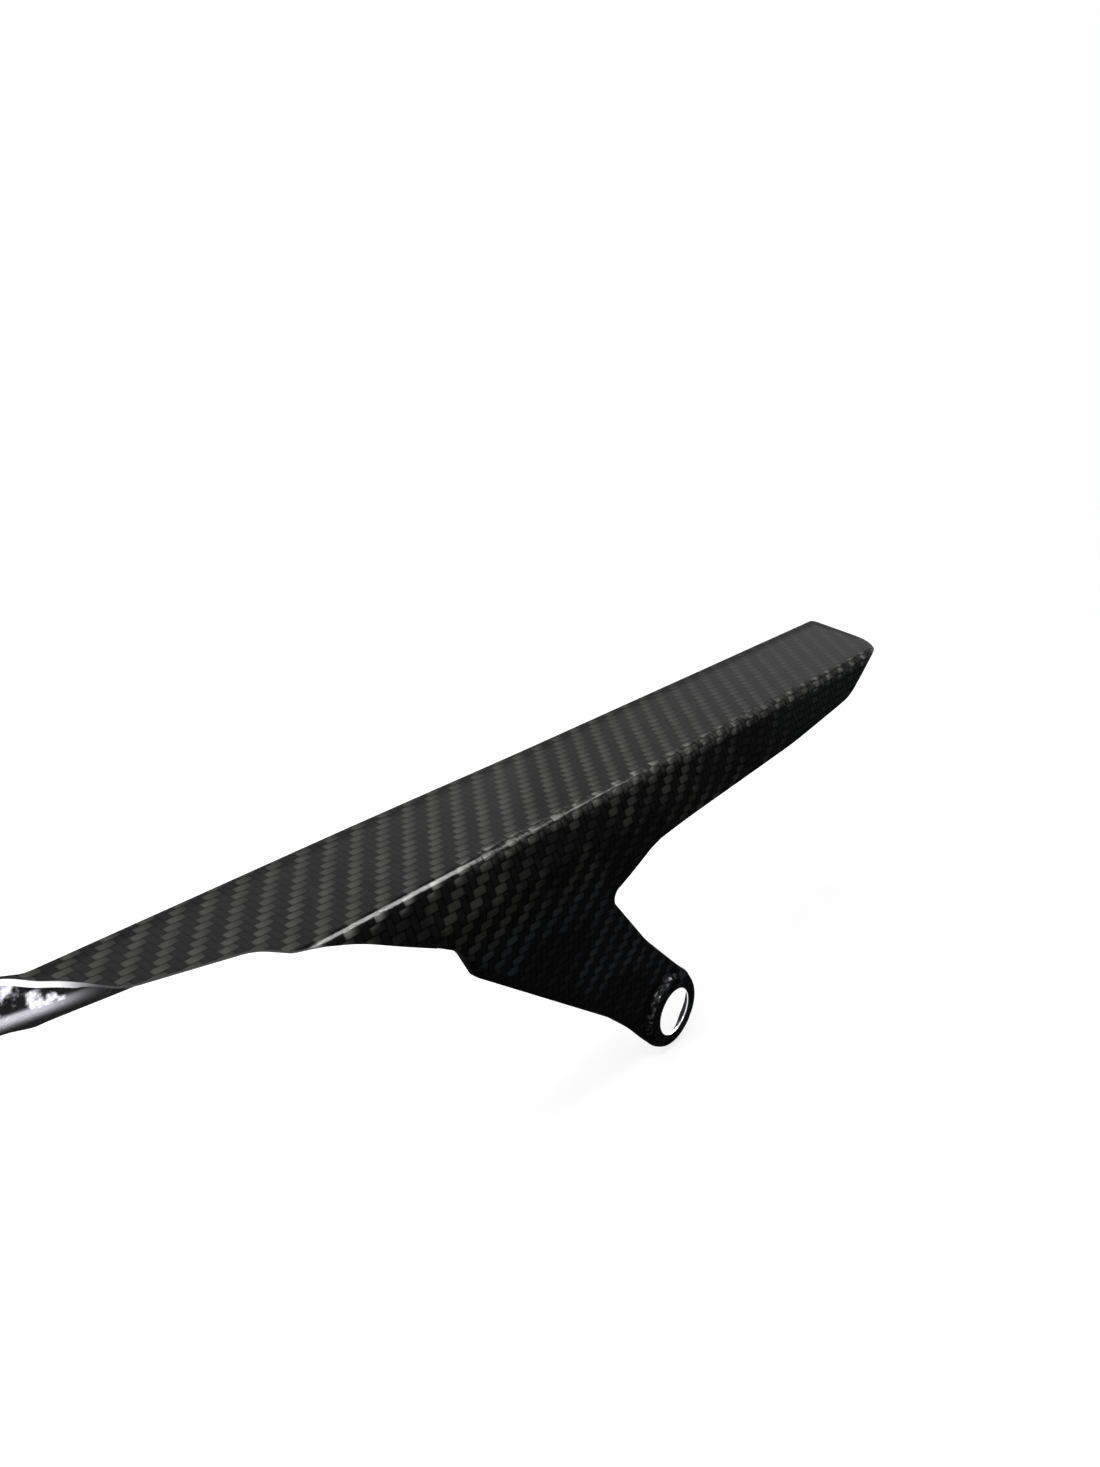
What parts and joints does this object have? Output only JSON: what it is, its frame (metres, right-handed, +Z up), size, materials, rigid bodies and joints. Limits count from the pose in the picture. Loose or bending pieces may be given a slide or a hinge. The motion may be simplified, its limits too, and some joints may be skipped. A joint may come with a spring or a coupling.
{
  "type": "motorcycle chain guard",
  "caption": "Moulded carbon chain guard: flat deck with a far flange, a flared side panel and an arm that ends in a raised mounting eye.",
  "frame": {"origin": "centre of the arm's eye on its outer face", "axes": "+X along the guard towards its rear end, +Y from the outer side towards the wheel, +Z up"},
  "size_m": [0.3303, 0.0388, 0.0876],
  "materials": {
    "carbon_laminate": "clear gloss resin over black twill carbon cloth outside, rough resin inside"
  },
  "bodies": {
    "root": {"chain_guard": "carbon_laminate"}
  },
  "joints": []
}
